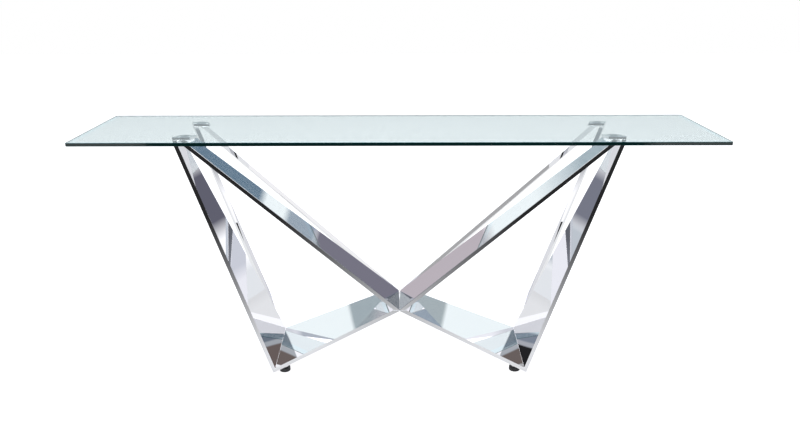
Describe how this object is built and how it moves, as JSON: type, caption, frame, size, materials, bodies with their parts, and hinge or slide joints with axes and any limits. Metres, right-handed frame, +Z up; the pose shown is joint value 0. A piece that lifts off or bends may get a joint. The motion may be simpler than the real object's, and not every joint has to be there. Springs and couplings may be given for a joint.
{
  "type": "console table",
  "caption": "Long narrow console table with a clear glass top on a mirror-polished base of folded, open triangular loops.",
  "frame": {"origin": "on the floor, under the middle of the glass top", "axes": "+X along the length, +Y from front to back, +Z up"},
  "size_m": [1.8, 0.4, 0.75],
  "materials": {
    "top_glass": "clear tempered glass with a green-blue polished edge",
    "polished_steel": "mirror polished",
    "zinc_steel": "satin",
    "black_rubber": "matte"
  },
  "bodies": {
    "table": {"glass_top": "top_glass", "leg_front_left": "polished_steel", "rail_front_left": "polished_steel", "diagonal_front_left": "polished_steel", "top_pad_front_left": "polished_steel", "bond_disc_front_left": "zinc_steel", "foot_boss_front_left": "polished_steel", "leg_front_right": "polished_steel", "rail_front_right": "polished_steel", "diagonal_front_right": "polished_steel", "top_pad_front_right": "polished_steel", "bond_disc_front_right": "zinc_steel", "foot_boss_front_right": "polished_steel", "leg_rear_left": "polished_steel", "rail_rear_left": "polished_steel", "diagonal_rear_left": "polished_steel", "top_pad_rear_left": "polished_steel", "bond_disc_rear_left": "zinc_steel", "foot_boss_rear_left": "polished_steel", "leg_rear_right": "polished_steel", "rail_rear_right": "polished_steel", "diagonal_rear_right": "polished_steel", "top_pad_rear_right": "polished_steel", "bond_disc_rear_right": "zinc_steel", "foot_boss_rear_right": "polished_steel"},
    "foot_front_left": {"foot_stud_front_left": "zinc_steel", "foot_pad_front_left": "black_rubber"},
    "foot_front_right": {"foot_stud_front_right": "zinc_steel", "foot_pad_front_right": "black_rubber"},
    "foot_rear_left": {"foot_stud_rear_left": "zinc_steel", "foot_pad_rear_left": "black_rubber"},
    "foot_rear_right": {"foot_stud_rear_right": "zinc_steel", "foot_pad_rear_right": "black_rubber"}
  },
  "joints": [
    {"name": "level_front_left", "type": "slide", "parent": "table", "child": "foot_front_left", "axis": [0, 0, -1], "range_m": [0, 0.006]},
    {"name": "level_front_right", "type": "slide", "parent": "table", "child": "foot_front_right", "axis": [0, 0, -1], "range_m": [0, 0.006]},
    {"name": "level_rear_left", "type": "slide", "parent": "table", "child": "foot_rear_left", "axis": [0, 0, -1], "range_m": [0, 0.006]},
    {"name": "level_rear_right", "type": "slide", "parent": "table", "child": "foot_rear_right", "axis": [0, 0, -1], "range_m": [0, 0.006]}
  ]
}
